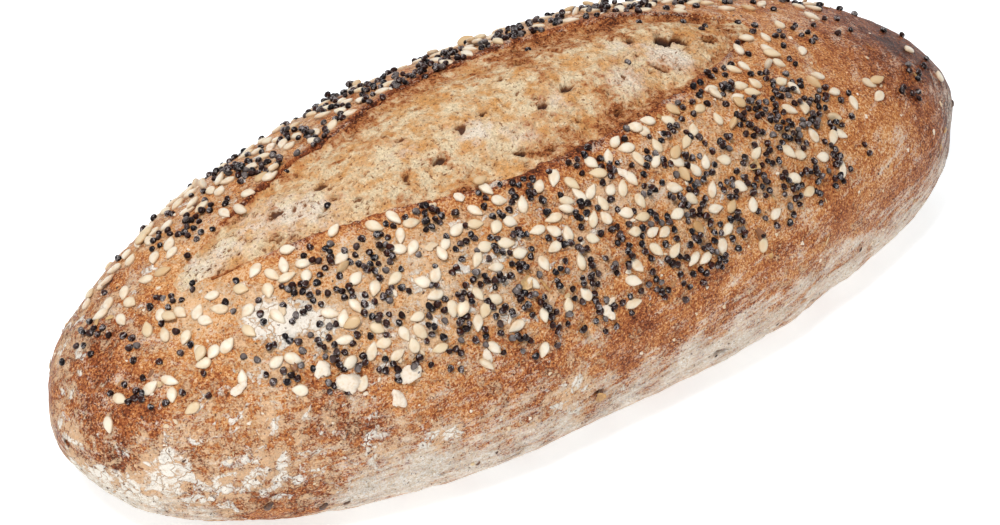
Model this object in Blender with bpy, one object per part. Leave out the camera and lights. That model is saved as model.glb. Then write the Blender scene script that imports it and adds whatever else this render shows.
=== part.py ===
"""Seeded grain roll with one long score, as a single solid.

The roll lies along X on its flat sole at Z = 0, and +Z is up. Units are metres.
"""

import math
import random

import bmesh
import bpy
from mathutils import Matrix, Vector, noise
from mathutils.bvhtree import BVHTree

MM = 0.001

# The roll's overall size, and the height of its widest line and of its two tips
LENGTH = 190 * MM
WIDTH = 79 * MM
HEIGHT = 53 * MM
NOSE_HEIGHT = 19.5 * MM

# Fullness of the plan outline and of the crest line, at the left (-X) and right (+X) end
OUTLINE_FULLNESS = {"left": (2.1, 2.1), "right": (2.1, 2.2)}
CREST_FULLNESS = {"left": (2.25, 1.63), "right": (1.6, 1.63)}
SOLE_FULLNESS = (5.6, 2.24)
UPPER_ROUNDNESS = 0.94
LOWER_ROUNDNESS = 0.63
SOLE_PRESS = 1.05  # the underside is drawn this much deeper, then pressed flat at Z = 0

# Hand-shaped unevenness: (height, spacing) of broad and of small swellings
SWELLINGS = ((0.9 * MM, 30 * MM), (0.45 * MM, 12 * MM))

# The score: a spindle that tore open along the crest
SCORE_CENTRE_X = -11 * MM
SCORE_LENGTH = 132 * MM
SCORE_WIDTH = 33 * MM
SCORE_BOW = 3.3 * MM  # how far its tips lie to the back of its middle
SCORE_SHIFT = -0.9 * MM  # sideways place of its middle
SCORE_TAPER = {"left": 1.2, "right": 2.55}
SCORE_DEPTH = 1.1 * MM
SCORE_CROWN = 1.2 * MM  # rise of the torn crumb from its gutters to its middle
SCORE_WALL_SHARE = 0.17  # width of each gutter's wall, as a share of the half width
SCORE_FADE = 7 * MM  # the relief dies out where the half width falls below this
LIP_HEIGHT = 0.5 * MM
LIP_REACH = 0.12
LIP_SHARE = 1.06  # where each lip peaks, in half widths from the middle

# Mesh density of the roll: rings along it, and points round each ring
RING_COUNT = 42
BACK_FLANK_POINTS = 6
FRONT_FLANK_POINTS = 6
LOWER_POINTS = 12
SCORE_LINES = (1.24, 1.06, 0.98, 0.83, 0.45, 0.0, -0.45, -0.83, -0.98, -1.06, -1.24)
LEAST_SCORE_SPAN = 0.12  # the score's lines stay this share of the roll's half width apart

# Hulled sesame seeds, strewn over both flanks
SEED_LENGTH = 3.1 * MM
SEED_WIDTH = 2.0 * MM
SEED_THICKNESS = 1.0 * MM
SEED_RISE = 0.18 * MM  # height of a seed's middle plane over the crust
SEED_TAPER = 0.45  # share of its width that a seed loses towards its pointed end
SEED_VARIATION = 0.12
SEED_TILT_DEG = 8
SEED_GAP = 2.2 * MM
STREWN_TRIES = 2400
STREWN_SEED = 41
CLUSTER_SPACING = 17 * MM
CLUSTER_MEAN = 0.5
CLUSTER_CONTRAST = 1.0
SEED_BAND = (0.66, 0.84)  # share of the flank, from the score down, where seeds thin out
SEED_BAND_NARROWING = 0.3  # the band's lower edge rises by this share at the tips
SEED_ENDS = {"left": (0.6, 0.9), "right": (0.3, 0.68)}  # shares of the half length over
SEED_ENDS_KEEP = {"left": 0.4, "right": 0.14}  # which seeds grow scarce, and what stays
SEED_TIPS = (0.92, 0.98)  # beyond these no seed lies

# Seeds that are fused to the solid: the largest, spread evenly
FUSED_MOST = 205
FUSED_GAP = 3.7 * MM

SHARP_ANGLE = math.radians(50)
CRUST_COLOUR = (0.47, 0.24, 0.11, 1.0)


def end_of(u):
    """Which end of the roll a place belongs to."""
    return "left" if u < 0 else "right"


def bulge(u, powers):
    """A rounded profile that is 1 in the middle and 0 at the tips."""
    along, across = powers
    return max(0.0, 1 - abs(u) ** along) ** (1 / across)


def signed_power(value, power):
    return math.copysign(abs(value) ** power, value)


def smooth_step(low, high, value):
    t = min(1.0, max(0.0, (value - low) / (high - low)))
    return t * t * (3 - 2 * t)


def half_width(u):
    return WIDTH / 2 * bulge(u, OUTLINE_FULLNESS[end_of(u)])


def plain_point(u, angle):
    """A point of the smooth roll: u runs from -1 to 1 along it, and angle round it from the back."""
    side, rise = math.cos(angle), math.sin(angle)
    if rise >= 0:
        y = half_width(u) * signed_power(side, UPPER_ROUNDNESS)
        crest = (HEIGHT - NOSE_HEIGHT) * bulge(u, CREST_FULLNESS[end_of(u)])
        z = NOSE_HEIGHT + crest * rise**UPPER_ROUNDNESS
    else:
        y = half_width(u) * signed_power(side, LOWER_ROUNDNESS)
        depth = SOLE_PRESS * NOSE_HEIGHT * bulge(u, SOLE_FULLNESS)
        z = NOSE_HEIGHT - depth * abs(rise) ** LOWER_ROUNDNESS
    return Vector((LENGTH / 2 * u, y, z))


def normal_at(u, angle):
    """The outward normal of the smooth roll, from short steps along and round it."""
    step = 0.002
    low, high = max(step - 1, u - step), min(1 - step, u + step)
    along = plain_point(high, angle) - plain_point(low, angle)
    around = plain_point(u, angle + step) - plain_point(u, angle - step)
    return around.cross(along).normalized()


def score_half_width(x):
    s = (x - SCORE_CENTRE_X) / (SCORE_LENGTH / 2)
    if abs(s) >= 1:
        return 0.0
    return SCORE_WIDTH / 2 * (1 - abs(s) ** SCORE_TAPER[end_of(s)])


def score_middle(x):
    s = (x - SCORE_CENTRE_X) / (SCORE_LENGTH / 2)
    return SCORE_SHIFT + SCORE_BOW * s * s


def score_relief(point):
    """How far the torn score lies below the smooth roll (negative), or its lips above it."""
    half = score_half_width(point.x)
    if half <= 0:
        return 0.0
    share = abs(point.y - score_middle(point.x)) / half
    fade = smooth_step(0, SCORE_FADE, half)
    if share < 1:
        floor = SCORE_CROWN * (1 - share * share) - SCORE_DEPTH
        return fade * floor * smooth_step(1, 1 - SCORE_WALL_SHARE, share)
    return fade * LIP_HEIGHT * math.exp(-(((share - LIP_SHARE) / LIP_REACH) ** 2))


def swelling(point):
    """Unevenness of the hand-shaped dough."""
    return sum(height * noise.noise(point / spacing) for height, spacing in SWELLINGS)


def roll_point(u, angle):
    """A point of the finished surface, with the sole pressed flat."""
    point = plain_point(u, angle)
    lift = swelling(point)
    if math.sin(angle) > 0:
        lift += score_relief(point)
    point += normal_at(u, angle) * lift
    point.z = max(0.0, point.z)
    return point


def angle_at(u, y):
    """The angle at which the upper surface stands over a sideways place."""
    reach = min(0.999, abs(y) / half_width(u)) ** (1 / UPPER_ROUNDNESS)
    return math.acos(math.copysign(reach, y))


def spread(start, end, count):
    """Evenly spaced values after start and before end."""
    return [start + (end - start) * k / count for k in range(1, count)]


def ring_angles(u):
    """Angles round one ring, crowded along the score so that its lips stay sharp."""
    x = LENGTH / 2 * u
    span = math.hypot(score_half_width(x), LEAST_SCORE_SPAN * half_width(u))
    middle = score_middle(x) * smooth_step(0.98, 0.7, abs(u))
    score = [angle_at(u, middle + line * span) for line in SCORE_LINES]
    back = spread(0, score[0], BACK_FLANK_POINTS)
    front = spread(score[-1], math.pi, FRONT_FLANK_POINTS)
    lower = spread(math.pi, 2 * math.pi, LOWER_POINTS)
    return [0.0, *back, *score, *front, math.pi, *lower]


def mesh_object(name, bm, material):
    mesh = bpy.data.meshes.new(name)
    bm.to_mesh(mesh)
    bm.free()
    mesh.materials.append(material)
    made = bpy.data.objects.new(name, mesh)
    bpy.context.scene.collection.objects.link(made)
    return made


def crust_material():
    material = bpy.data.materials.new("baked_crust")
    material.use_nodes = True
    shader = material.node_tree.nodes["Principled BSDF"]
    shader.inputs["Base Color"].default_value = CRUST_COLOUR
    shader.inputs["Roughness"].default_value = 0.7
    shader.inputs["Metallic"].default_value = 0.0
    return material


def make_roll(material):
    """The roll's body: rings lofted between its two tips."""
    bm = bmesh.new()
    rings = []
    for k in range(1, RING_COUNT):
        u = math.sin(math.pi * (k / RING_COUNT - 0.5))
        rings.append([bm.verts.new(roll_point(u, angle)) for angle in ring_angles(u)])
    for ring, following in zip(rings, rings[1:]):
        for j in range(len(ring)):
            after = (j + 1) % len(ring)
            bm.faces.new((ring[j], following[j], following[after], ring[after]))
    for u, ring in ((-1, rings[0]), (1, rings[-1])):
        tip = bm.verts.new((u * LENGTH / 2, 0, NOSE_HEIGHT))
        for j in range(len(ring)):
            bm.faces.new((tip, ring[j], ring[(j + 1) % len(ring)]))
    bmesh.ops.recalc_face_normals(bm, faces=bm.faces)
    sole = [f for f in bm.faces if all(v.co.z == 0 for v in f.verts)]
    bmesh.ops.dissolve_faces(bm, faces=sole, use_verts=True)
    roll = mesh_object("roll", bm, material)
    roll.data.shade_smooth()
    return roll


def flank_share(u, angle):
    """0 at the score's lip, 1 at the roll's widest line, and below 0 inside the score."""
    x = LENGTH / 2 * u
    half = LIP_SHARE * score_half_width(x)
    middle = score_middle(x) if half else 0.0
    y = plain_point(u, angle).y
    if abs(y - middle) < half:
        return -1.0
    if y > middle:
        lip = angle_at(u, middle + half)
        return (lip - angle) / lip
    lip = angle_at(u, middle - half)
    return (angle - lip) / (math.pi - lip)


def sesame_density(u, angle):
    """How thickly sesame lies: in clusters down both flanks, thinner towards the tips."""
    share = flank_share(u, angle)
    if share < 0:
        return 0.0
    band = 1 - smooth_step(*SEED_BAND, share + SEED_BAND_NARROWING * u * u)
    end = end_of(u)
    ends = 1 - (1 - SEED_ENDS_KEEP[end]) * smooth_step(*SEED_ENDS[end], abs(u))
    tips = 1 - smooth_step(*SEED_TIPS, abs(u))
    clusters = CLUSTER_MEAN + CLUSTER_CONTRAST * noise.noise(plain_point(u, angle) / CLUSTER_SPACING)
    return band * ends * tips * clusters


def sesame_places():
    """A seeded draw of seeds: the centre, normal, spin, length, width and tilt of each."""
    draw = random.Random(STREWN_SEED)
    places = []
    for _ in range(STREWN_TRIES):
        u, angle = draw.uniform(-1, 1), draw.uniform(0.05, math.pi - 0.05)
        keep, spin = draw.random(), draw.uniform(0, 2 * math.pi)
        length = SEED_LENGTH * (1 + SEED_VARIATION * draw.uniform(-1, 1))
        width = SEED_WIDTH * (1 + SEED_VARIATION * draw.uniform(-1, 1))
        tilt = math.radians(SEED_TILT_DEG * draw.uniform(-1, 1))
        if keep > sesame_density(u, angle):
            continue
        centre = roll_point(u, angle)
        if all((centre - other[0]).length > SEED_GAP for other in places):
            places.append((centre, normal_at(u, angle), spin, length, width, tilt))
    return places


def spread_largest(places):
    """The largest seeds that keep their distance from each other."""
    chosen = []
    for place in sorted(places, key=lambda place: -place[3]):
        if all((place[0] - other[0]).length > FUSED_GAP for other in chosen):
            chosen.append(place)
    return chosen[:FUSED_MOST]


def make_seed(name, place, material):
    """One seed: a flattened drop with a blunt and a pointed end, lying on the crust."""
    centre, normal, spin, length, width, tilt = place
    along = normal.orthogonal().normalized()
    lying = Matrix((along, normal.cross(along), normal)).transposed()
    turned = lying @ Matrix.Rotation(spin, 3, "Z") @ Matrix.Rotation(tilt, 3, "Y")
    bm = bmesh.new()
    bmesh.ops.create_icosphere(bm, subdivisions=1, radius=0.5)
    for vertex in bm.verts:
        x, y, z = vertex.co
        taper = 1 - SEED_TAPER * smooth_step(-0.1, 0.6, x)
        local = Vector((x * length, y * width * taper, z * SEED_THICKNESS * taper))
        vertex.co = centre + normal * SEED_RISE + turned @ local
    return mesh_object(name, bm, material)


def fuse_seeds(roll, material):
    """Joins seeds to the roll in one union, then removes the loose ones."""
    seeds = bpy.data.collections.new("seeds_to_fuse")
    bpy.context.scene.collection.children.link(seeds)
    surface = BVHTree.FromObject(roll, bpy.context.evaluated_depsgraph_get())
    for k, place in enumerate(spread_largest(sesame_places())):
        seat = surface.find_nearest(place[0])[0]
        seed = make_seed(f"seed_{k:03d}", (seat, *place[1:]), material)
        bpy.context.scene.collection.objects.unlink(seed)
        seeds.objects.link(seed)
    union = roll.modifiers.new("fuse_seeds", "BOOLEAN")
    union.operation = "UNION"
    union.operand_type = "COLLECTION"
    union.collection = seeds
    union.solver = "EXACT"
    bpy.context.view_layer.objects.active = roll
    bpy.ops.object.modifier_apply(modifier=union.name)
    roll.data.set_sharp_from_angle(angle=SHARP_ANGLE)
    for seed in list(seeds.objects):
        bpy.data.objects.remove(seed)
    bpy.data.collections.remove(seeds)


def main():
    for leftover in list(bpy.data.objects):
        bpy.data.objects.remove(leftover)
    material = crust_material()
    roll = make_roll(material)
    bpy.context.view_layer.update()
    fuse_seeds(roll, material)


main()
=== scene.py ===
import math
import random

import bpy
import numpy as np
from mathutils import Matrix, Vector, noise


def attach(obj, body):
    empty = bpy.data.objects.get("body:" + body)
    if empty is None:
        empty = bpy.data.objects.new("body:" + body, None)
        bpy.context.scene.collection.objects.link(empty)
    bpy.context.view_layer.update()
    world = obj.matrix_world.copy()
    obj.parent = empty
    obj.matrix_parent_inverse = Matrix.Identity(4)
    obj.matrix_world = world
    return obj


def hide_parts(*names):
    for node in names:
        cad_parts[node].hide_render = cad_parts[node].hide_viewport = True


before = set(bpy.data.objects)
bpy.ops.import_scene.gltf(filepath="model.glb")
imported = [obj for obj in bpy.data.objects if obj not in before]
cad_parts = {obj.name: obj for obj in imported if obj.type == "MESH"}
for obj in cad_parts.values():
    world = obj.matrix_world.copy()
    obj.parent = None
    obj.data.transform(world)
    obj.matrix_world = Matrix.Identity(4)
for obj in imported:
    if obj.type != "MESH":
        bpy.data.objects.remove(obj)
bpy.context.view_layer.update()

mm = 0.001  # sizes below are in millimetres unless a note says metres, and meshes are in metres


# Small helpers

def hexColor(code):
    channels = [int(code[k:k + 2], 16) / 255 for k in (1, 3, 5)]
    linear = [c / 12.92 if c <= 0.04045 else ((c + 0.055) / 1.055) ** 2.4 for c in channels]
    return (*linear, 1.0)


def addNode(tree, kind, settings=None, stops=None, **inputs):
    # settings are the node's own properties, stops a ramp's colours, and inputs sockets or values,
    # each under the name of its socket or under _ and its number
    node = tree.nodes.new(kind)
    for key, value in (settings or {}).items():
        setattr(node, key, value)
    for key, value in inputs.items():
        socket = node.inputs[int(key[1:])] if key[0] == "_" else node.inputs[key.replace("_", " ")]
        if isinstance(value, bpy.types.NodeSocket):
            tree.links.new(value, socket)
        else:
            socket.default_value = value
    if stops:
        ramp = node.color_ramp
        while len(ramp.elements) < len(stops):
            ramp.elements.new(0.5)
        for element, (place, code) in zip(ramp.elements, stops):
            element.position = place
            element.color = hexColor(code)
    return node


def newMaterial(name):
    # a material with its node tree, its shader and the object coordinates
    material = bpy.data.materials.new(name)
    material.use_nodes = True
    tree = material.node_tree
    place = addNode(tree, "ShaderNodeTexCoord").outputs["Object"]
    return material, tree, tree.nodes["Principled BSDF"], place


def smoothStep(low, high, value):
    t = np.clip((value - low) / (high - low), 0, 1)
    return t * t * (3 - 2 * t)


def noiseAt(points, spacing, shift=0.0):
    # soft noise from -1 to 1 whose bumps are about one spacing apart
    scaled = np.asarray(points).reshape(-1, 3) / spacing + shift
    return np.array([noise.noise(p) for p in scaled.tolist()])


def roughNoiseAt(points, spacing, octaves, shift=0.0):
    scaled = np.asarray(points).reshape(-1, 3) / spacing + shift
    return np.array([noise.fractal(p, 0.7, 2.1, octaves) for p in scaled.tolist()])


def spotsAt(points, spots):
    # soft round spots, each with its centre, its reach and how much it adds
    total = np.zeros(len(points))
    for *centre, reach, amount in spots:
        far = ((points[:, :len(centre)] - centre) ** 2).sum(axis=1) / reach ** 2
        total += amount * np.exp(-far)
    return total


def rampsAt(ramps, **fields):
    # soft ramps, each with how much it adds and from where to where on each field
    total = 0.0
    for amount, spans in ramps:
        for key, span in spans.items():
            amount = amount * smoothStep(*span, fields[key])
        total = total + amount
    return total


def meshPiece(name, points, faces, material, values=None):
    # points in millimetres; values are named numbers or colours, one for each point
    mesh = bpy.data.meshes.new(name)
    mesh.from_pydata((np.asarray(points) * mm).tolist(), [], faces)
    mesh.materials.append(material)
    for key, value in (values or {}).items():
        value = np.asarray(value, np.float32)
        kind = "FLOAT_COLOR" if value.ndim == 2 else "FLOAT"
        field = "color" if value.ndim == 2 else "value"
        mesh.attributes.new(key, kind, "POINT").data.foreach_set(field, value.ravel())
    mesh.shade_smooth()
    piece = bpy.data.objects.new(name, mesh)
    bpy.context.scene.collection.objects.link(piece)
    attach(piece, "root")
    print("made", name, "with", sum(len(p.vertices) - 2 for p in mesh.polygons), "triangles")
    return piece


# The roll's form, as in its solid

rollShape = {
    "length": 190.0,
    "width": 79.0,
    "height": 53.0,
    "noseHeight": 19.5,  # height of the widest line and of the two tips
    "outlineLeft": (2.1, 2.1),
    "outlineRight": (2.1, 2.2),
    "crestLeft": (2.25, 1.63),
    "crestRight": (1.6, 1.63),
    "sole": (5.6, 2.24),
    "upperRoundness": 0.94,
    "lowerRoundness": 0.63,
    "solePress": 1.05,
    "swellings": ((0.9, 30.0), (0.45, 12.0)),  # height and spacing
}

scoreShape = {
    "centreX": -11.0,
    "length": 132.0,
    "width": 33.0,
    "bow": 3.3,  # how far the tips lie to the back of the middle
    "shift": -0.9,
    "taperLeft": 1.2,
    "taperRight": 2.55,
    "depth": 1.1,
    "crown": 1.2,
    "wallShare": 0.17,
    "fade": 7.0,
    "lipHeight": 0.5,
    "lipReach": 0.12,
    "lipShare": 1.06,
}


def bulge(u, powers):
    return np.maximum(0.0, 1 - np.abs(u) ** powers[0]) ** (1 / powers[1])


def signedPower(value, power):
    return np.sign(value) * np.abs(value) ** power


def halfWidth(u):
    outline = np.where(u < 0, bulge(u, rollShape["outlineLeft"]), bulge(u, rollShape["outlineRight"]))
    return rollShape["width"] / 2 * outline


def plainPoint(u, angle):
    # u runs from -1 to 1 along the roll, and the angle round it, from the back over the crest
    side, rise = np.cos(angle), np.sin(angle)
    nose = rollShape["noseHeight"]
    crest = np.where(u < 0, bulge(u, rollShape["crestLeft"]), bulge(u, rollShape["crestRight"]))
    upper, lower = rollShape["upperRoundness"], rollShape["lowerRoundness"]
    depth = rollShape["solePress"] * nose * bulge(u, rollShape["sole"])
    y = halfWidth(u) * np.where(rise >= 0, signedPower(side, upper), signedPower(side, lower))
    above = nose + (rollShape["height"] - nose) * crest * np.abs(rise) ** upper
    z = np.where(rise >= 0, above, nose - depth * np.abs(rise) ** lower)
    return np.stack(np.broadcast_arrays(rollShape["length"] / 2 * u, y, z), axis=-1)


def normalAt(u, angle):
    step = 0.002
    low, high = np.maximum(step - 1, u - step), np.minimum(1 - step, u + step)
    along = plainPoint(high, angle) - plainPoint(low, angle)
    around = plainPoint(u, angle + step) - plainPoint(u, angle - step)
    normal = np.cross(around, along)
    return normal / np.maximum(1e-9, np.linalg.norm(normal, axis=-1, keepdims=True))


def scorePlace(x):
    return (x - scoreShape["centreX"]) / (scoreShape["length"] / 2)


def scoreHalf(x):
    s = np.minimum(1.0, np.abs(scorePlace(x)))
    taper = np.where(scorePlace(x) < 0, scoreShape["taperLeft"], scoreShape["taperRight"])
    return scoreShape["width"] / 2 * (1 - s ** taper)


def scoreMiddle(x):
    return scoreShape["shift"] + scoreShape["bow"] * scorePlace(x) ** 2


def acrossScore(x, y):
    # -1 at the front lip, 0 in the middle and 1 at the back lip
    return (y - scoreMiddle(x)) / np.maximum(1e-6, scoreHalf(x))


def lipRelief(x, share):
    fade = smoothStep(0, scoreShape["fade"], scoreHalf(x))
    beyond = (np.abs(share) - scoreShape["lipShare"]) / scoreShape["lipReach"]
    return fade * scoreShape["lipHeight"] * np.exp(-beyond * beyond)


def scoreFloor(x, share):
    fade = smoothStep(0, scoreShape["fade"], scoreHalf(x))
    floor = scoreShape["crown"] * (1 - share * share) - scoreShape["depth"]
    return fade * floor * smoothStep(1, 1 - scoreShape["wallShare"], np.abs(share))


def swelling(points):
    flat = np.asarray(points).reshape(-1, 3)
    return sum(height * noiseAt(flat, spacing) for height, spacing in rollShape["swellings"])


def angleAt(u, y):
    reach = np.minimum(0.999, np.abs(y) / halfWidth(u)) ** (1 / rollShape["upperRoundness"])
    return np.arccos(np.where(y < 0, -reach, reach))


def flankShare(u, angle):
    # 0 at the score's lip, 1 at the roll's widest line, and below 0 inside the score
    x = rollShape["length"] / 2 * u
    half = scoreShape["lipShare"] * scoreHalf(x)
    middle = np.where(half > 0, scoreMiddle(x), 0.0)
    y = plainPoint(u, angle)[..., 1]
    backLip, frontLip = angleAt(u, middle + half), angleAt(u, middle - half)
    share = np.where(y > middle, (backLip - angle) / backLip, (angle - frontLip) / (np.pi - frontLip))
    return np.where(np.abs(y - middle) < half, -1.0, share)


# The crust

crustLook = {
    "rings": 336,
    "ringPoints": (72, 11, 6, 11, 88, 46, 12, 36),  # from the back over the score to the sole
    "lipBand": (0.88, 1.24),  # each lip's own band of points, in half widths of the score
    "leastSpan": 0.12,  # past the score's ends the bands keep this share of the roll's half width
    "skin": 0.25,  # the crust stands this far over the torn crumb
    "grooveDepth": 5.7,
    "grooveWall": 0.07,
    "tornEdge": (0.75, 5.5),  # wander of the lip, and its spacing
    "lumps": ((0.2, 6.0), (0.15, 2.9), (0.08, 1.5)),
    "creases": (0.3, 18.0, 1.9, 20.0),  # depth, length, spacing and top of the creases in the flank
    # places that baked darker or paler than the rest, the dark ones at the right end partly painted shade
    # of the light falling off there: x, y, z, reach and amount
    "baked": ((-94, -4, 30, 17, 0.26), (88, -4, 30, 24, 0.33), (81, -9, 34, 10, 0.14),
              (88, -16, 24, 12, 0.1), (-60, -29, 31, 9, 0.18), (-24, -38, 29, 11, 0.1),
              (20, -38, 29, 14, 0.04), (-72, -26, 10, 12, 0.14), (-50, -20, 42, 16, -0.2),
              (-68, 1, 43, 8, -0.26), (-74, -6, 40, 8, -0.14), (-28, -25, 45, 15, -0.18),
              (20, -28, 42, 12, -0.06), (-18, -39, 20, 9, -0.08), (-84, 16, 26, 14, 0.12),
              (55, 24, 34, 22, 0.06)),
    # places with more or less flour in islands: x, y, z, reach and amount
    "floured": ((-86, -18, 21, 3, 0.38), (-78, -26, 17, 8, 0.1), (-88, -14, 14, 7, 0.2),
                (-72, -26, 25, 9, 0.14), (-93, -4, 14, 8, 0.26), (-92, -6, 30, 10, -0.2),
                (-76, -30, 4, 9, -0.16), (-56, -32, 22, 12, 0.04), (-44, -36, 18, 5, 0.2),
                (-18, -39, 20, 8, 0.18), (-65, -14, 41, 3.4, 0.44), (-61, -17, 41, 3.4, 0.44),
                (-57, -20, 40, 3, 0.36), (-46, -22, 44, 13, 0.06),
                (-22, -23, 46, 12, 0.04), (-30, -34, 30, 14, 0.05), (-66, 24, 20, 14, 0.22),
                (70, 26, 20, 12, 0.12), (0, 32, 22, 20, 0.08)),
    # places with more or less flour smeared along the foot: x, y, z, reach and amount
    "smeared": ((-68, -26, 7, 10, -0.5), (-76, -28, 5, 8, -0.4), (-74, -26, 13, 8, -0.2),
                (-46, -36, 16, 7, 0.4), (-30, -38, 15, 7, 0.34), (-56, -33, 13, 7, 0.36),
                (84, -14, 24, 10, 0.2), (20, -38, 16, 10, 0.16)),
    # slits, dented and painted near-black inside as shade: x, y, z, length and height
    "slits": ((16, -38, 11, 1.5, 0.45), (-12, -39, 16, 1.2, 0.45), (40, -35, 9, 1.3, 0.45)),
    "slitDepth": 0.6,
    "bake": (0.45, 0.07, 0.07),  # the plain crust's, and what broad and fine noise add
    "ridge": (0.12, 2.8, 1.2),  # bake of the ridge outside each lip, and its reach at front and back
    "edge": (0.14, 0.9),  # darkening of the lips' thin edge, partly baked and partly painted shade where crust meets crumb, and its reach
    "flour": (0.03, 0.06, 0.06),  # the plain crust's, and what broad and fine noise add
    # what each adds, and from where to where: beside is the share of the flank next to the score
    # the first bake ramp darkens the right end: partly deeper browning, partly painted shade
    "bakeRamps": ((0.08, {"x": (50, 95)}), (-0.08, {"x": (-10, 20)}), (-0.05, {"x": (-10, -60)}),
                  (-0.1, {"beside": (0.9, 0.6)})),
    "flourRamps": ((-0.06, {"x": (20, 70)}), (0.1, {"z": (30, 16)}),
                   (0.08, {"x": (-40, -70), "z": (38, 24)}),
                   (0.14, {"beside": (0.9, 0.5), "x": (70, 20)}), (-0.12, {"x": (72, 88), "z": (22, 32)})),
    "smearRamps": ((-0.35, {"x": (72, 88), "z": (22, 32)}),),
    "bareRidge": 0.3,
    "bareBaked": (0.55, 0.5),  # the bake above which flour burned off, and how fast
    "foot": {"smear": 0.62, "top": 26, "lowerLeft": 6, "full": 8, "wander": (5, 2)},
}


def crustRelief(angle, points):
    # everything that the crust adds to the plain roll, along its normal
    look = crustLook
    x, y, z = points.T
    share = np.where(np.sin(angle) > 0, acrossScore(x, y), 9.0)
    half = scoreHalf(x)
    lift = swelling(points) + lipRelief(x, share)
    wander, spacing = look["tornEdge"]
    side = np.stack([x, np.sign(y) * 40, x * 0], -1)
    edge = wander * (noiseAt(side, spacing) + 0.6 * noiseAt(side, spacing / 3, 9.0))
    torn = np.abs(share) + edge / np.maximum(4.0, half)
    groove = smoothStep(1, 1 - look["grooveWall"], torn) * smoothStep(1.4, 3.4, half)
    for height, spacing in look["lumps"]:
        lift += height * noiseAt(points, spacing, 3.7)
    depth, length, gap, top = look["creases"]
    stretched = np.stack([x * gap / length, y, z + 0.1 * x], -1)
    crease = 1 - np.abs(noiseAt(stretched, gap, 1.3))
    lift -= depth * smoothStep(top, top - 10, z) * smoothStep(0.82, 1.0, crease)
    lift -= look["slitDepth"] * slitsAt(points)
    lift += look["skin"] * (1 - groove) * smoothStep(0, 8, z)
    return lift - groove * look["grooveDepth"]


def slitsAt(points):
    # short slits where the dough was pinched against the tray, dented and painted dark inside as shade
    total = np.zeros(len(points))
    for x, y, z, length, height in crustLook["slits"]:
        gap = points - [x, y, z]
        slope = gap[:, 2] + 0.3 * gap[:, 0]
        far = (gap[:, 0] / length) ** 2 + (slope / height) ** 2 + (gap[:, 1] / 6) ** 2
        total = np.maximum(total, np.exp(-far ** 2))
    return total


def crustPoint(u, angle):
    u, angle = np.atleast_1d(u).astype(float), np.atleast_1d(angle).astype(float)
    plain = plainPoint(u, angle)
    points = plain + normalAt(u, angle) * crustRelief(angle, plain)[:, None]
    points[:, 2] = np.maximum(0, points[:, 2])
    return points


def evenAngles(u, start, end, count):
    # angles from start up to end, evenly spaced along the section's outline
    dense = np.linspace(start, end, 160)
    outline = plainPoint(u, dense)
    run = np.concatenate([[0], np.cumsum(np.linalg.norm(np.diff(outline, axis=0), axis=1))])
    return np.interp(np.linspace(0, run[-1], count + 1)[:-1], run, dense)


def ringAngles(u):
    x = rollShape["length"] / 2 * u
    span = math.hypot(float(scoreHalf(x)), crustLook["leastSpan"] * float(halfWidth(u)))
    inner, outer = crustLook["lipBand"]
    middle = float(scoreMiddle(x)) * float(smoothStep(0.98, 0.7, abs(u)))
    marks = [float(angleAt(u, middle + line * span)) for line in (outer, inner, -inner, -outer)]
    press = 1 / (rollShape["solePress"] * max(0.2, float(bulge(u, rollShape["sole"]))))
    foot = math.asin(min(0.93, press ** (1 / rollShape["lowerRoundness"])))
    stops = [0, *marks, math.pi, math.pi + foot, 2 * math.pi - foot, 2 * math.pi]
    parts = [evenAngles(u, a, b, n) for a, b, n in zip(stops, stops[1:], crustLook["ringPoints"])]
    return np.concatenate(parts)


def ringPlaces(count):
    # places along the roll that are evenly spaced along its outline
    u = np.sin(np.linspace(-math.pi / 2, math.pi / 2, 4000))
    crest = plainPoint(u, math.pi / 2)[:, 2]
    run = np.hypot(np.hypot(np.diff(u) * rollShape["length"] / 2, np.diff(halfWidth(u))), np.diff(crest))
    run = np.concatenate([[0], np.cumsum(run)])
    return np.interp(np.linspace(0, run[-1], count + 1)[1:-1], run, u)


def makeCrust(material):
    places = ringPlaces(crustLook["rings"])
    angles = np.array([ringAngles(u) for u in places])
    rings, around = angles.shape
    u = np.repeat(places, around)
    index = np.arange(rings * around).reshape(rings, around)
    after = np.roll(index, -1, axis=1)
    faces = np.stack([after[:-1], after[1:], index[1:], index[:-1]], -1).reshape(-1, 4).tolist()
    first, last = rings * around, rings * around + 1
    faces += [(first, int(a), int(b)) for a, b in zip(index[0], after[0])]
    faces += [(last, int(b), int(a)) for a, b in zip(index[-1], after[-1])]
    tips = [[side * rollShape["length"] / 2, 0, rollShape["noseHeight"]] for side in (-1, 1)]
    points = np.vstack([crustPoint(u, angles.ravel()), tips])
    u, angle = np.append(u, [-1, 1]), np.append(angles.ravel(), [0, 0])
    values = crustValues(u, angle, np.vstack([plainPoint(u[:-2], angle[:-2]), tips]))
    crust = meshPiece("crust", points, faces, material, values)
    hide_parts("roll")


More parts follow.
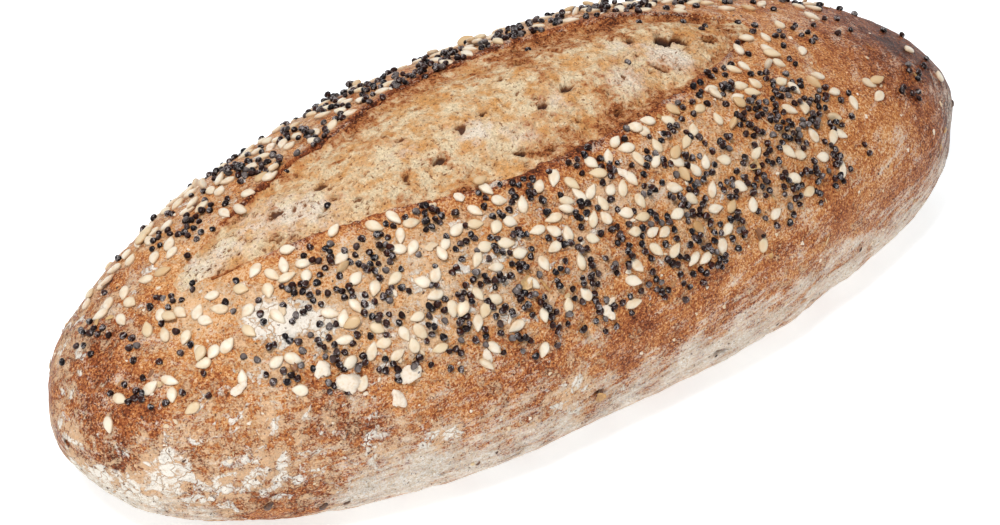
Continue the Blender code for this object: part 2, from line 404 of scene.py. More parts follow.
def crustValues(u, angle, plain):
    # bake goes from pale dough at 0 to the darkest crust at 1, and flour from none to a thick cake
    look = crustLook
    x, y, z = plain.T
    upper = np.sin(angle) > 0
    share = np.where(upper, flankShare(np.clip(u, -0.999, 0.999), angle), 1.3)
    fields = {"x": x, "z": z, "beside": np.where(share > 0, share, 9.0)}
    wide = roughNoiseAt(plain, 20, 3)
    fine = roughNoiseAt(plain, 5, 3, 5.0)
    across = acrossScore(x, y)
    fromLip = np.where(upper, (np.abs(across) - 1.02) * scoreHalf(x), 99.0)
    opened = smoothStep(2.0, 7.0, scoreHalf(x))
    ridgeBake, *ridgeReach = look["ridge"]
    lipEdgeBakeAndShade, edgeReach = look["edge"]
    ridge = np.exp(-(fromLip / np.where(across < 0, *ridgeReach)) ** 2) * opened
    plainBake, wideBake, fineBake = look["bake"]
    bake = plainBake + wideBake * wide + fineBake * fine + spotsAt(plain, look["baked"])
    # the lips' thin dark line: partly browning, partly painted shade at the seam with the crumb
    bake += ridgeBake * ridge + lipEdgeBakeAndShade * np.exp(-(fromLip / edgeReach) ** 2) * opened
    bake += rampsAt(look["bakeRamps"], **fields)
    plainFlour, wideFlour, fineFlour = look["flour"]
    flour = plainFlour + wideFlour * wide + fineFlour * fine + spotsAt(plain, look["floured"])
    flour += rampsAt(look["flourRamps"], **fields) - look["bareRidge"] * ridge
    burned, fast = look["bareBaked"]
    flour -= fast * np.maximum(0, bake - burned)
    foot = look["foot"]
    wideWander, fineWander = foot["wander"]
    top = foot["top"] - foot["lowerLeft"] * smoothStep(10, -40, x)
    smear = foot["smear"] * smoothStep(top, foot["full"], z + wideWander * wide + fineWander * fine)
    smear += spotsAt(plain, look["smeared"]) + rampsAt(look["smearRamps"], **fields)
    return {"bake": np.clip(bake, 0, 1), "flour": np.clip(flour, -0.2, 1),
            "smear": np.clip(smear, -0.4, 1), "slitShade": slitsAt(plain)}


def crustMaterial():
    # Rye and wheat crust, baked on a floured board: satin orange-brown with a fine sharp grain and painted
    # pin-point glints, dusted cream where flour clung, white and crackled where it caked, and grey-white at
    # the foot
    material, tree, shader, place = newMaterial("bakedRyeWheatCrust")
    bake, flour, smear, slitShade = [addNode(tree, "ShaderNodeAttribute", {"attribute_name": key}).outputs["Fac"]
                                for key in ("bake", "flour", "smear", "slitShade")]
    # from broad blotches to fine flecks: size in millimetres, detail, roughness and distortion
    blotch, dust, clot, patch, poreNoise, fleck = [
        addNode(tree, "ShaderNodeTexNoise", Vector=place, Scale=1 / (size * mm), Detail=detail,
                Roughness=rough, Distortion=distortion).outputs["Fac"]
        for size, detail, rough, distortion in (
            (6.0, 5.0, 0.6, 0.3), (3.0, 8.0, 0.72, 0.4), (2.6, 3.0, 0.55, 0.6), (2.2, 5.0, 0.65, 0.3),
            (0.6, 1.0, 0.5, 0.0), (0.45, 2.0, 0.6, 0.0))]
    cells = addNode(tree, "ShaderNodeTexVoronoi", Vector=place, Scale=1 / (0.26 * mm),
                    Randomness=1.0).outputs["Color"]
    split = addNode(tree, "ShaderNodeSeparateColor", Color=cells)
    speck, pin = split.outputs[0], split.outputs[1]
    pulled = addNode(tree, "ShaderNodeMapping", {"vector_type": "TEXTURE"}, Vector=place,
                     Rotation=(0.0, -0.12, 0.0), Scale=(5.0, 5.0, 1.0)).outputs[0]
    streak = addNode(tree, "ShaderNodeTexNoise", Vector=pulled, Scale=1 / (1.3 * mm), Detail=6.0,
                     Roughness=0.7, Distortion=0.3).outputs["Fac"]
    pleats = addNode(tree, "ShaderNodeMath", {"operation": "MULTIPLY"}, _0=streak, _1=smear).outputs[0]
    swirl = addNode(tree, "ShaderNodeTexNoise", Vector=place, Scale=1 / (1.6 * mm), Detail=3.0)
    swirled = addNode(tree, "ShaderNodeVectorMath", {"operation": "MULTIPLY_ADD"},
                      _0=swirl.outputs["Color"], _1=(2.4 * mm, 2.4 * mm, 2.4 * mm), _2=place).outputs[0]
    cracks = addNode(tree, "ShaderNodeTexVoronoi", {"feature": "DISTANCE_TO_EDGE"}, Vector=swirled,
                     Scale=1 / (2.6 * mm), Randomness=1.0).outputs["Distance"]
    # each level is a value of the crust, or a noise, with shares of the noises added
    levels = []
    for level, parts in ((bake, ((blotch, 0.68), (patch, 0.45), (fleck, 0.9), (speck, 0.3))),
                         (flour, ((dust, 1.5), (blotch, -0.4), (patch, 0.5), (pin, 0.16))),
                         (flour, ((clot, 1.2), (pin, 0.05))),
                         (smear, ((streak, 2.3), (blotch, -1.2), (speck, -0.5))),
                         (fleck, ((speck, 0.45),))):
        for part, weight in parts:
            level = addNode(tree, "ShaderNodeMath", {"operation": "MULTIPLY_ADD"}, _0=part, _1=weight,
                            _2=level).outputs[0]
        levels.append(level)
    bakeSum, dustSum, cakeLevel, smearLevel, grit = levels
    # painted glints: the brightest cells lift the crust's colour up its ramp, like tiny highlights
    glint = addNode(tree, "ShaderNodeMapRange", Value=pin, From_Min=0.78, From_Max=0.94, To_Min=1.13,
                    To_Max=1.37).outputs[0]
    bakeLevel, dustLevel = [
        addNode(tree, "ShaderNodeMath", {"operation": "SUBTRACT"}, _0=level, _1=less).outputs[0]
        for level, less in ((bakeSum, glint), (dustSum, 0.25))]
    # how much of each cover shows: its level, from where to where it comes in, and the most of it
    dusted, caked, filled, whole, smeared, gritty, pores = [
        addNode(tree, "ShaderNodeMapRange", Value=level, From_Min=low, From_Max=high, To_Min=0.0,
                To_Max=most).outputs[0]
        for level, low, high, most in (
            (dustLevel, 0.82, 0.95, 0.66), (cakeLevel, 0.95, 1.05, 0.92), (cakeLevel, 1.2, 1.3, 1.0),
            (cracks, 0.012, 0.05, 1.0), (smearLevel, 0.4, 1.0, 0.92), (grit, 0.45, 1.0, 1.0),
            (poreNoise, 0.68, 0.74, 0.8))]
    closed = addNode(tree, "ShaderNodeMath", {"operation": "MAXIMUM"}, _0=whole, _1=filled).outputs[0]
    islands = addNode(tree, "ShaderNodeMath", {"operation": "MULTIPLY"}, _0=caked, _1=closed).outputs[0]
    flourColor = addNode(tree, "ShaderNodeMix", {"data_type": "RGBA"}, _0=gritty,
                         _6=hexColor("#D5BEA2"), _7=hexColor("#FBF5EC")).outputs[2]
    color = addNode(tree, "ShaderNodeValToRGB", None, [
        (0.0, "#E6BC92"), (0.2, "#D4995F"), (0.36, "#BF7A45"), (0.5, "#A25B33"),
        (0.64, "#7F4023"), (0.8, "#562916"), (1.0, "#32170D")], Fac=bakeLevel).outputs["Color"]
    # the slits' near-black is painted shade inside them
    for share, cover in ((dusted, hexColor("#E7C49E")), (islands, hexColor("#F3EBDF")),
                         (smeared, flourColor), (pores, hexColor("#5A3422")), (slitShade, hexColor("#3A211A"))):
        color = addNode(tree, "ShaderNodeMix", {"data_type": "RGBA"}, _0=share, _6=color,
                        _7=cover).outputs[2]
    tree.links.new(color, shader.inputs["Base Color"])
    rough = addNode(tree, "ShaderNodeMapRange", Value=dusted, From_Min=0.0, From_Max=0.6, To_Min=0.46,
                    To_Max=0.85).outputs[0]
    tree.links.new(rough, shader.inputs["Roughness"])
    shader.inputs["IOR"].default_value = 1.45
    shader.inputs["Specular IOR Level"].default_value = 0.11
    height = patch
    for part, weight in ((pleats, 2.0), (fleck, 0.8), (dusted, 0.3), (islands, 0.4)):
        height = addNode(tree, "ShaderNodeMath", {"operation": "MULTIPLY_ADD"}, _0=part, _1=weight,
                         _2=height).outputs[0]
    bump = addNode(tree, "ShaderNodeBump", Height=height, Strength=1.0, Distance=0.5 * mm)
    tree.links.new(bump.outputs["Normal"], shader.inputs["Normal"])
    return material


# The torn crumb in the score

crumbLook = {
    "along": 640,
    "across": 148,
    "reach": 1.12,
    "thickness": 4.5,
    "folds": (0.45, 8.0),  # height and spacing
    "lumps": ((0.3, 3.6), (0.26, 1.7), (0.18, 0.9), (0.12, 0.5)),
    # the holes that stand out: x, y, half length, half width, depth and turn in degrees
    "cavities": ((32, 1, 2.2, 1.8, 2.6, 30), (35, 0, 2.4, 1.2, 2.4, -20), (26, -6, 1.7, 0.7, 2.0, -50),
                 (41, -1, 1.6, 0.7, 2.0, -10), (26, 3, 1.0, 0.8, 2.0, 0), (20, 4, 0.9, 0.5, 1.8, 0),
                 (5, 8, 1.4, 1.1, 2.4, 0), (-1, 5, 1.0, 0.6, 2.0, 20), (-10, -2, 0.7, 0.6, 2.0, 0),
                 (-18, 7, 0.9, 0.6, 2.0, 0), (-26, 1, 0.6, 0.5, 2.0, 0), (-10, -13, 1.6, 0.6, 1.6, -25),
                 (9, 8, 1.0, 0.5, 1.3, 0), (7, -4, 1.7, 1.0, 1.2, 10), (0, -6, 1.5, 0.8, 1.1, 30),
                 (-23, -7, 1.5, 0.8, 1.1, 10), (-15, -3, 1.9, 1.2, 0.9, 40), (13, 7, 0.9, 0.6, 1.1, 0),
                 (-51, 1, 1.5, 0.9, 0.9, 0), (-42, 1, 1.3, 0.8, 0.8, 0), (-42, -3, 1.0, 0.7, 0.8, 0),
                 (-36, 4, 0.8, 0.5, 1.0, 0), (-39, -6, 1.2, 0.7, 0.5, 0), (4, -12, 1.2, 0.5, 1.0, -10)),
    "pits": ((52, 0.42, 0.75), (520, 0.24, 0.5)),  # count, radius and depth
    "pitReach": (-0.88, 0.93, 0.9),  # shares of the score's half length and half width
    "pitSizes": (0.5, 1.5),
    "pitLengths": (1, 2.2),
    "pitDepths": (0.5, 1.2),
    "pitTurnDeg": 50,
    # how far the holes' outlines wander along and across, and the spacing and shift of the noise
    "wobble": ((0.7, 0.5, 1.5, 2.2), (0.3, 0.25, 0.6, 4.2)),
    "holeShadeByDepth": (0.24, 0.38),  # painted shade in the holes: the least, and what each millimetre of depth adds
    "rimRise": 0.08,
    "edgeDrop": 1.6,  # the crumb's edge dips this far under the crust
    # places that toasted darker or stayed paler: x, y, reach and amount
    "toasted": ((10, -11, 6, 0.1), (20, -11, 5, 0.1), (-6, -13, 5, 0.08), (-22, 11, 6, 0.16),
                (-8, 11, 6, 0.16), (6, 11, 7, 0.18), (20, 11, 6, 0.18), (34, 8, 6, 0.08), (46, 1, 6, 0.14),
                (26, 8, 5, 0.12), (-38, 6, 4, 0.1), (13, -5, 4, 0.12), (24, -2, 8, -0.2),
                (-12, -4, 10, -0.14), (-44, -3, 9, -0.1), (-64, 1, 8, -0.1)),
    # pale torn places: x, y, reach and amount
    "chalky": ((-14, -5, 4, 0.5), (-7, -10, 4, 0.4), (3, -6, 4, 0.4), (17, -7, 5, 0.5), (30, -4, 5, 0.7),
               (23, 2, 4, 0.4), (-52, 1, 6, 0.4), (-45, -3, 6, 0.4), (-66, 1, 8, 0.4), (-28, -2, 5, 0.3)),
    "seed": 7,
    "toast": (0.31, 0.2, 0.16, 0.18),  # the plain crumb's, and what noise, height and rims add
    # what each adds, and from where to where: away is 0 in the score's middle and 1 at its lips
    "toastRamps": ((0.2, {"away": (0.6, 0.97)}), (0.14, {"away": (0.92, 1.0)}), (0.1, {"x": (-20, 30)})),
}


def crumbHoles(plain):
    # how deep each point is sunk, the painted shade of its hole there, darker where deeper, and how near it
    # is to a rim
    look = crumbLook
    draw = random.Random(look["seed"])
    x, y = plain[:, 0].copy(), plain[:, 1].copy()
    for along, across, spacing, shift in look["wobble"]:
        x += along * noiseAt(plain, spacing, shift)
        y += across * noiseAt(plain, spacing, shift + 4)
    holes = list(look["cavities"])
    left, right, side = look["pitReach"]
    turn = look["pitTurnDeg"]
    for count, radius, depth in look["pits"]:
        for _ in range(count):
            px = scoreShape["centreX"] + draw.uniform(left, right) * scoreShape["length"] / 2
            py = float(scoreMiddle(px)) + draw.uniform(-side, side) * float(scoreHalf(px))
            size = radius * draw.uniform(*look["pitSizes"])
            holes.append((px, py, size * draw.uniform(*look["pitLengths"]), size,
                          depth * draw.uniform(*look["pitDepths"]), draw.uniform(-turn, turn)))
    least, byDepth = look["holeShadeByDepth"]
    sunk, holeShade, rim = np.zeros_like(x), np.zeros_like(x), np.zeros_like(x)
    for px, py, halfLength, halfBreadth, depth, turnDeg in holes:
        near = np.flatnonzero((np.abs(x - px) < 3 * halfLength) & (np.abs(y - py) < 3 * halfLength))
        c, s = math.cos(math.radians(turnDeg)), math.sin(math.radians(turnDeg))
        dx, dy = x[near] - px, y[near] - py
        far = np.hypot((dx * c + dy * s) / halfLength, (dy * c - dx * s) / halfBreadth)
        inside = smoothStep(1.2, 0.5, far)
        sunk[near] = np.maximum(sunk[near], depth * inside)
        holeShade[near] = np.maximum(holeShade[near], inside * min(1.0, least + byDepth * depth))
        rim[near] = np.maximum(rim[near], np.exp(-((far - 1.2) / 0.35) ** 2) * min(1.0, depth))
    return sunk, holeShade, rim


def makeCrumb(material):
    look = crumbLook
    along, across = look["along"], look["across"]
    s = np.sin(np.linspace(-1, 1, along) * 1.2) / math.sin(1.2) * 0.985
    s, r = np.meshgrid(s, np.linspace(-look["reach"], look["reach"], across), indexing="ij")
    x, r = scoreShape["centreX"] + s.ravel() * scoreShape["length"] / 2, r.ravel()
    u = x / (rollShape["length"] / 2)
    angle = angleAt(u, scoreMiddle(x) + r * scoreHalf(x))
    plain, normal = plainPoint(u, angle), normalAt(u, angle)
    away = np.abs(r)
    calm = smoothStep(0, scoreShape["fade"], scoreHalf(x)) * smoothStep(1.1, 0.98, away)
    height, spacing = look["folds"]
    rough = height * (0.8 - 2 * np.abs(noiseAt(plain * [0.6, 1, 1], spacing, 21.7)))
    for height, spacing in look["lumps"]:
        rough += height * noiseAt(plain, spacing, 11.3)
    sunk, holeShade, rim = crumbHoles(plain)
    lift = swelling(plain) + scoreFloor(x, r) - look["edgeDrop"] * smoothStep(1.05, 1.12, away)
    lift += (0.2 + 0.8 * calm) * rough - sunk * (0.2 + 0.8 * calm) + look["rimRise"] * rim
    points = plain + normal * lift[:, None]
    bottom = plain - normal * look["thickness"]
    index = np.arange(along * across).reshape(along, across)
    quads = np.stack([index[:-1, :-1], index[1:, :-1], index[1:, 1:], index[:-1, 1:]], -1)
    faces = quads.reshape(-1, 4).tolist()
    near = along * across + np.arange(along)
    far = near + along
    for k in range(along - 1):
        faces.append((int(index[k, 0]), int(near[k]), int(near[k + 1]), int(index[k + 1, 0])))
        faces.append((int(index[k + 1, -1]), int(far[k + 1]), int(far[k]), int(index[k, -1])))
        faces.append((int(near[k]), int(far[k]), int(far[k + 1]), int(near[k + 1])))
    faces.append([int(v) for v in index[0]] + [int(far[0]), int(near[0])])
    faces.append([int(v) for v in index[-1][::-1]] + [int(near[-1]), int(far[-1])])
    points = np.vstack([points, bottom[index[:, 0]], bottom[index[:, -1]]])
    plainToast, byNoise, byHeight, byRim = look["toast"]
    toast = plainToast + byNoise * roughNoiseAt(plain, 8, 4, 2.2) + byHeight * rough + byRim * rim
    toast += spotsAt(plain, look["toasted"]) + rampsAt(look["toastRamps"], x=x, away=away)
    chalk = spotsAt(plain, look["chalky"]) + 0.12 * roughNoiseAt(plain, 5, 3, 9.2)
    hidden = np.zeros(2 * along)
    values = {"toast": np.append(np.clip(toast, 0, 1), hidden), "pitShade": np.append(holeShade, hidden),
              "chalk": np.append(np.clip(chalk, 0, 1), hidden)}
    meshPiece("torn_crumb", points, faces, material, values)
    return points[:along * across], normal


def crumbMaterial():
    # Torn wheat crumb, toasted where it rose first: soft cream and gold with a fine bubbly grain,
    # grainy orange-brown at the rims, chalky where it tore late, brown in its pits, going dark with depth
    # as painted shade
    material, tree, shader, place = newMaterial("tornToastedCrumb")
    toast, pitShade, chalk = [addNode(tree, "ShaderNodeAttribute", {"attribute_name": key}).outputs["Fac"]
                          for key in ("toast", "pitShade", "chalk")]
    # from broad patches to fine flecks: size in millimetres, detail, roughness and distortion
    patch, mottle, poreNoise, fleck = [
        addNode(tree, "ShaderNodeTexNoise", Vector=place, Scale=1 / (size * mm), Detail=detail,
                Roughness=rough, Distortion=distortion).outputs["Fac"]
        for size, detail, rough, distortion in (
            (4.4, 4.0, 0.55, 0.3), (1.5, 5.0, 0.65, 0.0), (0.6, 2.0, 0.6, 0.0), (0.45, 2.0, 0.6, 0.0))]
    cells = addNode(tree, "ShaderNodeTexVoronoi", Vector=place, Scale=1 / (0.26 * mm),
                    Randomness=1.0).outputs["Color"]
    speck = addNode(tree, "ShaderNodeSeparateColor", Color=cells).outputs[0]
    bubbles = addNode(tree, "ShaderNodeTexVoronoi", Vector=place, Scale=1 / (0.9 * mm),
                      Randomness=1.0).outputs["Distance"]
    # each level is a value of the crumb, or a noise, with shares of the noises added
    levels = []
    for level, parts in ((patch, ((mottle, 0.5),)), (chalk, ((mottle, 1.2),)),
                         (toast, ((mottle, 1.1), (fleck, 0.3))),
                         (toast, ((mottle, 1.1), (fleck, 1.0), (speck, 0.35))),
                         (fleck, ((speck, 0.3),)), (pitShade, ((fleck, 0.3),)),
                         (mottle, ((fleck, 0.8), (bubbles, -0.3)))):
        for part, weight in parts:
            level = addNode(tree, "ShaderNodeMath", {"operation": "MULTIPLY_ADD"}, _0=part, _1=weight,
                            _2=level).outputs[0]
        levels.append(level)
    goldLevel, tornLevel, shareLevel, toastSum, shadeLevel, pitLevel, relief = levels
    # how much of each colour shows: its level, from where to where it comes in, and the most of it
    golden, torn, toasted, inPit = [
        addNode(tree, "ShaderNodeMapRange", {"interpolation_type": "SMOOTHSTEP"}, Value=level,
                From_Min=low, From_Max=high, To_Min=0.0, To_Max=most).outputs[0]
        for level, low, high, most in ((goldLevel, 0.6, 0.92, 1.0), (tornLevel, 0.78, 1.2, 0.85),
                                       (shareLevel, 1.02, 1.46, 1.0), (pitLevel, 0.32, 0.6, 0.95))]
    shade, pores = [
        addNode(tree, "ShaderNodeMapRange", Value=level, From_Min=low, From_Max=high, To_Min=least,
                To_Max=most).outputs[0]
        for level, low, high, least, most in ((shadeLevel, 0.3, 1.0, 0.66, 1.2),
                                              (poreNoise, 0.6, 0.67, 0.0, 0.8))]
    toastLevel = addNode(tree, "ShaderNodeMath", {"operation": "SUBTRACT"}, _0=toastSum,
                         _1=1.25).outputs[0]
    browned = addNode(tree, "ShaderNodeValToRGB", None, [
        (0.0, "#D8AC78"), (0.5, "#CC915A"), (0.66, "#B87344"), (0.8, "#97552F"), (0.92, "#6D381F"),
        (1.0, "#452417")], Fac=toastLevel).outputs["Color"]
    # the pits' own brown, going near-black as painted shade where they are deep
    pitBrownAndShade = addNode(tree, "ShaderNodeValToRGB", None, [
        (0.3, "#C08E5E"), (0.52, "#85532F"), (0.72, "#4F2A1C"), (0.9, "#261416")],
        Fac=pitLevel).outputs["Color"]
    color = hexColor("#E8D2AE")
    for share, cover in ((golden, hexColor("#D69D60")), (torn, hexColor("#EFE3D3")), (toasted, browned)):
        color = addNode(tree, "ShaderNodeMix", {"data_type": "RGBA"}, _0=share, _6=color,
                        _7=cover).outputs[2]
    color = addNode(tree, "ShaderNodeMix", {"data_type": "RGBA", "blend_type": "MULTIPLY",
                    "clamp_result": True}, _0=1.0, _6=color, _7=shade).outputs[2]
    for share, cover in ((pores, hexColor("#7E4A2A")), (inPit, pitBrownAndShade)):
        color = addNode(tree, "ShaderNodeMix", {"data_type": "RGBA"}, _0=share, _6=color,
                        _7=cover).outputs[2]
    tree.links.new(color, shader.inputs["Base Color"])
    shader.inputs["Roughness"].default_value = 0.8
    shader.inputs["Specular IOR Level"].default_value = 0.12
    bump = addNode(tree, "ShaderNodeBump", Height=relief, Strength=1.0, Distance=0.55 * mm)
    tree.links.new(bump.outputs["Normal"], shader.inputs["Normal"])
    return material


# Small things that lie on the crust

def ballMesh(around, rows):
    # a unit ball with its poles along x
    points, faces = [(-1.0, 0.0, 0.0)], []
    for k in range(1, rows):
        t = math.pi * k / rows
        for j in range(around):
            a = 2 * math.pi * j / around
            points.append((-math.cos(t), math.sin(t) * math.cos(a), math.sin(t) * math.sin(a)))
    points.append((1.0, 0.0, 0.0))
    last = len(points) - 1
    for j in range(around):
        after = (j + 1) % around
        faces.append((0, 1 + after, 1 + j))
        for k in range(rows - 2):
            a, b = 1 + k * around, 1 + (k + 1) * around
            faces.append((a + j, a + after, b + after, b + j))
        faces.append((last - around + j, last - around + after, last))
    return np.array(points), faces


def layFrame(normal, spin, tilt, roll):
    normal = Vector(normal)
    along = normal.orthogonal().normalized()
    lying = Matrix((along, normal.cross(along), normal)).transposed()
    turned = Matrix.Rotation(spin, 3, "Z") @ Matrix.Rotation(tilt, 3, "Y") @ Matrix.Rotation(roll, 3, "X")
    return np.array(lying @ turned)


def scatterPiece(name, material, look, shape, bits):
    # each bit says where it lies, how it is turned, its size, and its colour; shape forms the ball
    ballPoints, ballFaces = ballMesh(*look["ball"])
    # painted shade: each bit's colour darkens towards its edge, by the look's rim colour and share
    rimShadeColor, rimShadeShare = look["rim"]
    rim = (rimShadeShare * (1 - np.abs(ballPoints[:, 2])) ** 1.5)[:, None]
    points, faces, tones = [], [], []
    for k, bit in enumerate(bits):
        form = shape(ballPoints, bit) * bit["size"]
        turned = form @ layFrame(bit["normal"], bit["spin"], bit.get("tilt", 0), bit.get("roll", 0)).T
        points.append(turned + bit["centre"] + bit["normal"] * bit["rise"])
        faces += [tuple(k * len(ballPoints) + v for v in face) for face in ballFaces]
        tones.append((1 - rim) * np.array(hexColor(bit["tone"])) + rim * np.array(hexColor(rimShadeColor)))
    return meshPiece(name, np.vstack(points), faces, material, {"tone": np.vstack(tones)})


def tintedMaterial(name, grainSize, detail, tint, comesIn):
    # the tone of each bit, turned to a tint in patches of about one grain; comesIn says from and
    # to which level of the noise the tint comes in, and the most of it
    material, tree, shader, place = newMaterial(name)
    low, high, most = comesIn
    tone = addNode(tree, "ShaderNodeAttribute", {"attribute_name": "tone"}).outputs["Color"]
    grain = addNode(tree, "ShaderNodeTexNoise", Vector=place, Scale=1 / (grainSize * mm),
                    Detail=detail).outputs["Fac"]
    share = addNode(tree, "ShaderNodeMapRange", Value=grain, From_Min=low, From_Max=high, To_Min=0.0,
                    To_Max=most).outputs[0]
    color = addNode(tree, "ShaderNodeMix", {"data_type": "RGBA"}, _0=share, _6=tone,
                    _7=hexColor(tint)).outputs[2]
    tree.links.new(color, shader.inputs["Base Color"])
    return material, tree, shader, place, grain


def crustPlaceAt(x, angleDeg):
    # the centre and the normal of the crust at a length and an angle round it, from the back
    u, angle = x / (rollShape["length"] / 2), math.radians(angleDeg)
    return crustPoint(u, angle)[0], normalAt(u, angle)


def strewnPlaces(draw, count, lowest, highest):
    # random places on the crust between two angles, outside the score
    places = []
    while len(places) < count:
        x, angleDeg = draw.uniform(-90, 84), draw.uniform(lowest, highest)
        u, angle = x / (rollShape["length"] / 2), math.radians(angleDeg)
        if angleDeg > 180 or float(flankShare(u, angle)) > 0:
            places.append((x, angleDeg))
    return places


# Sesame

sesameLook = {
    "length": 3.1,
    "width": 2.0,
    "thickness": 1.0,
    "rise": 0.18,
    "taper": 0.45,
    "variation": 0.12,
    "tiltDeg": 8,
    "gap": 2.2,
    "tries": 2400,
    "seed": 41,
    "clusterSpacing": 17.0,
    "clusterMean": 0.5,
    "clusterContrast": 1.0,
    "band": (0.66, 0.84),
    "bandNarrowing": 0.3,
    "endsLeft": (0.6, 0.9, 0.4),  # where the seeds thin out, where they are thinnest, and what stays
    "endsRight": (0.3, 0.68, 0.14),
    "tips": (0.92, 0.98),
    "tintSeed": 5,
    "looseSeed": 19,
    "toneSpread": 1.25,
    "mostPointed": 0.22,
    "leaning": {"count": 34, "away": (1.5, 2.1), "tilt": (-0.35, 0.35), "roll": (-0.3, 0.3), "rise": 0.75},
    "onEdge": {"count": 16, "away": (2.6, 3.2), "tilt": (-0.15, 0.15), "roll": (0.9, 1.4), "rise": 0.55},
    "ball": (14, 9),  # points round it, and rows
    # a brown edge round each seed: partly its own rim, partly painted shade round its outline
    "rim": ("#A87C4B", 0.6),
    "tones": ("#EBDFCA", "#E7D8BE", "#DFCAA8", "#D2B389", "#BE9260"),
}


def sesameDensity(u, angle):
    look = sesameLook
    share = float(flankShare(u, angle))
    if share < 0:
        return 0.0
    start, end, keep = look["endsLeft"] if u < 0 else look["endsRight"]
    band = 1 - smoothStep(*look["band"], share + look["bandNarrowing"] * u * u)
    ends = 1 - (1 - keep) * smoothStep(start, end, abs(u))
    tips = 1 - smoothStep(*look["tips"], abs(u))
    place = plainPoint(u, angle) / look["clusterSpacing"]
    cluster = look["clusterMean"] + look["clusterContrast"] * noise.noise(place)
    return float(band * ends * tips * cluster)


def sesamePlaces():
    # the same draws as in the solid, so the same places, with two more that keep the gap here
    look = sesameLook
    draw = random.Random(look["seed"])
    tint = random.Random(look["tintSeed"])
    bits = []
    centres = np.empty((0, 3))
    for _ in range(look["tries"]):
        u, angle = draw.uniform(-1, 1), draw.uniform(0.05, math.pi - 0.05)
        keep, spin = draw.random(), draw.uniform(0, 2 * math.pi)
        length = look["length"] * (1 + look["variation"] * draw.uniform(-1, 1))
        width = look["width"] * (1 + look["variation"] * draw.uniform(-1, 1))
        tilt = math.radians(look["tiltDeg"] * draw.uniform(-1, 1))
        if keep > sesameDensity(u, angle):
            continue
        centre = crustPoint(u, angle)[0]
        if len(bits) and np.linalg.norm(centres - centre, axis=1).min() <= look["gap"]:
            continue
        centres = np.vstack([centres, centre])
        tone = look["tones"][min(len(look["tones"]) - 1, int(abs(tint.gauss(0, look["toneSpread"]))))]
        bits.append({"centre": centre, "normal": normalAt(u, angle), "spin": spin, "tilt": tilt,
                     "size": (length / 2, width / 2, look["thickness"] / 2), "rise": look["rise"],
                     "tone": tone, "point": tint.uniform(0, look["mostPointed"])})
    return bits


def looseSesame(bits):
    # a few more that lean on a seed or stand on edge, which the solid leaves out
    look = sesameLook
    draw = random.Random(look["looseSeed"])
    leaning, onEdge = look["leaning"], look["onEdge"]
    extra = []
    for k, under in enumerate(draw.sample(bits, leaning["count"] + onEdge["count"])):
        lay = leaning if k < leaning["count"] else onEdge
        turn = layFrame(under["normal"], draw.uniform(0, 2 * math.pi), 0, 0)
        centre = under["centre"] + turn[:, 0] * draw.uniform(*lay["away"])
        extra.append(dict(under, centre=centre, spin=draw.uniform(0, 2 * math.pi),
                          tilt=draw.uniform(*lay["tilt"]), roll=draw.uniform(*lay["roll"]),
                          rise=lay["rise"], tone=draw.choice(look["tones"][:4])))
    return extra


def sesameShape(ball, bit):
    # a flat drop: blunt and full at one end, pointed at the other, with a level top
    form = ball.copy()
    form[:, 2] = 0.85 * np.sign(ball[:, 2]) * np.abs(ball[:, 2]) ** 0.6
    slim = 1 - sesameLook["taper"] * smoothStep(-0.2, 1.2, ball[:, 0])
    form[:, 1] *= slim * (1 - bit["point"] * smoothStep(0.2, 0.95, ball[:, 0]))
    form[:, 2] *= 0.4 + 0.6 * slim
    return form


def sesameMaterial():
    # Hulled sesame, lightly toasted: ivory, satin, a little translucent, tanned in small patches
    material, tree, shader, place, _ = tintedMaterial("hulledSesame", 1.6, 2.0, "#D2A873",
                                                      (0.45, 0.75, 0.55))
    fine = addNode(tree, "ShaderNodeTexNoise", Vector=place, Scale=1 / (0.4 * mm), Detail=2.0)
    bump = addNode(tree, "ShaderNodeBump", Height=fine.outputs["Fac"], Strength=0.25, Distance=0.1 * mm)
    tree.links.new(bump.outputs["Normal"], shader.inputs["Normal"])
    shader.inputs["Roughness"].default_value = 0.42
    shader.inputs["Subsurface Weight"].default_value = 0.12
    shader.inputs["Subsurface Radius"].default_value = (1.0, 0.7, 0.4)
    shader.inputs["Subsurface Scale"].default_value = 0.5 * mm
    return material


# Poppy seeds

